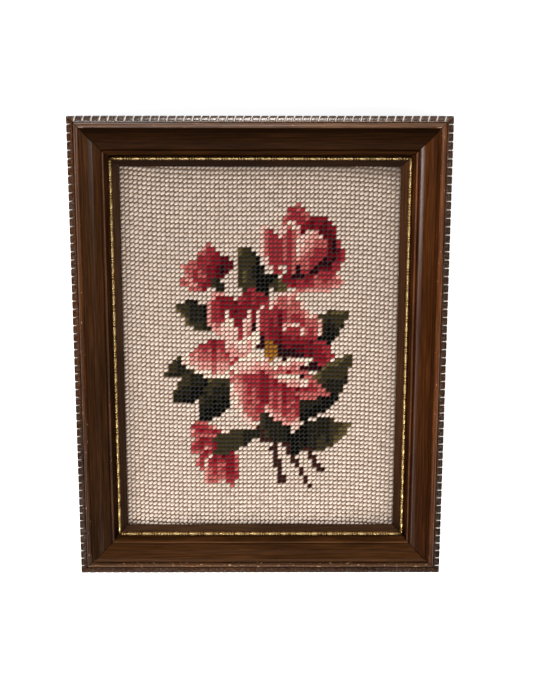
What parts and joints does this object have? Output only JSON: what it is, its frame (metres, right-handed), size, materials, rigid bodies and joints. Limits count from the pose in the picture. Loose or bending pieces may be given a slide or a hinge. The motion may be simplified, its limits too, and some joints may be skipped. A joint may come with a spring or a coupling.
{
  "type": "needlepoint canvas panel in a wood picture frame",
  "caption": "Flat wool needlepoint canvas with a rose spray, held in a mitred, dark stained wood frame with a notched outer edge and a gilt bead line inside.",
  "frame": {"origin": "middle of the panel's footprint, on the plane of the rails' backs", "axes": "+X towards the picture's right, +Y towards its top, +Z out of its face; the panel lies on its back"},
  "size_m": [0.2112, 0.2626, 0.0193],
  "materials": {
    "wool": "matt wool tent stitch",
    "stained_wood": "dark stain under worn satin wax",
    "gilding": "old metal leaf, rubbed in places"
  },
  "bodies": {
    "root": {"canvas": "wool", "rail_top": "stained_wood", "rail_bottom": "stained_wood", "rail_left": "stained_wood", "rail_right": "stained_wood", "gilt_top": "gilding", "gilt_bottom": "gilding", "gilt_left": "gilding", "gilt_right": "gilding"}
  },
  "joints": []
}
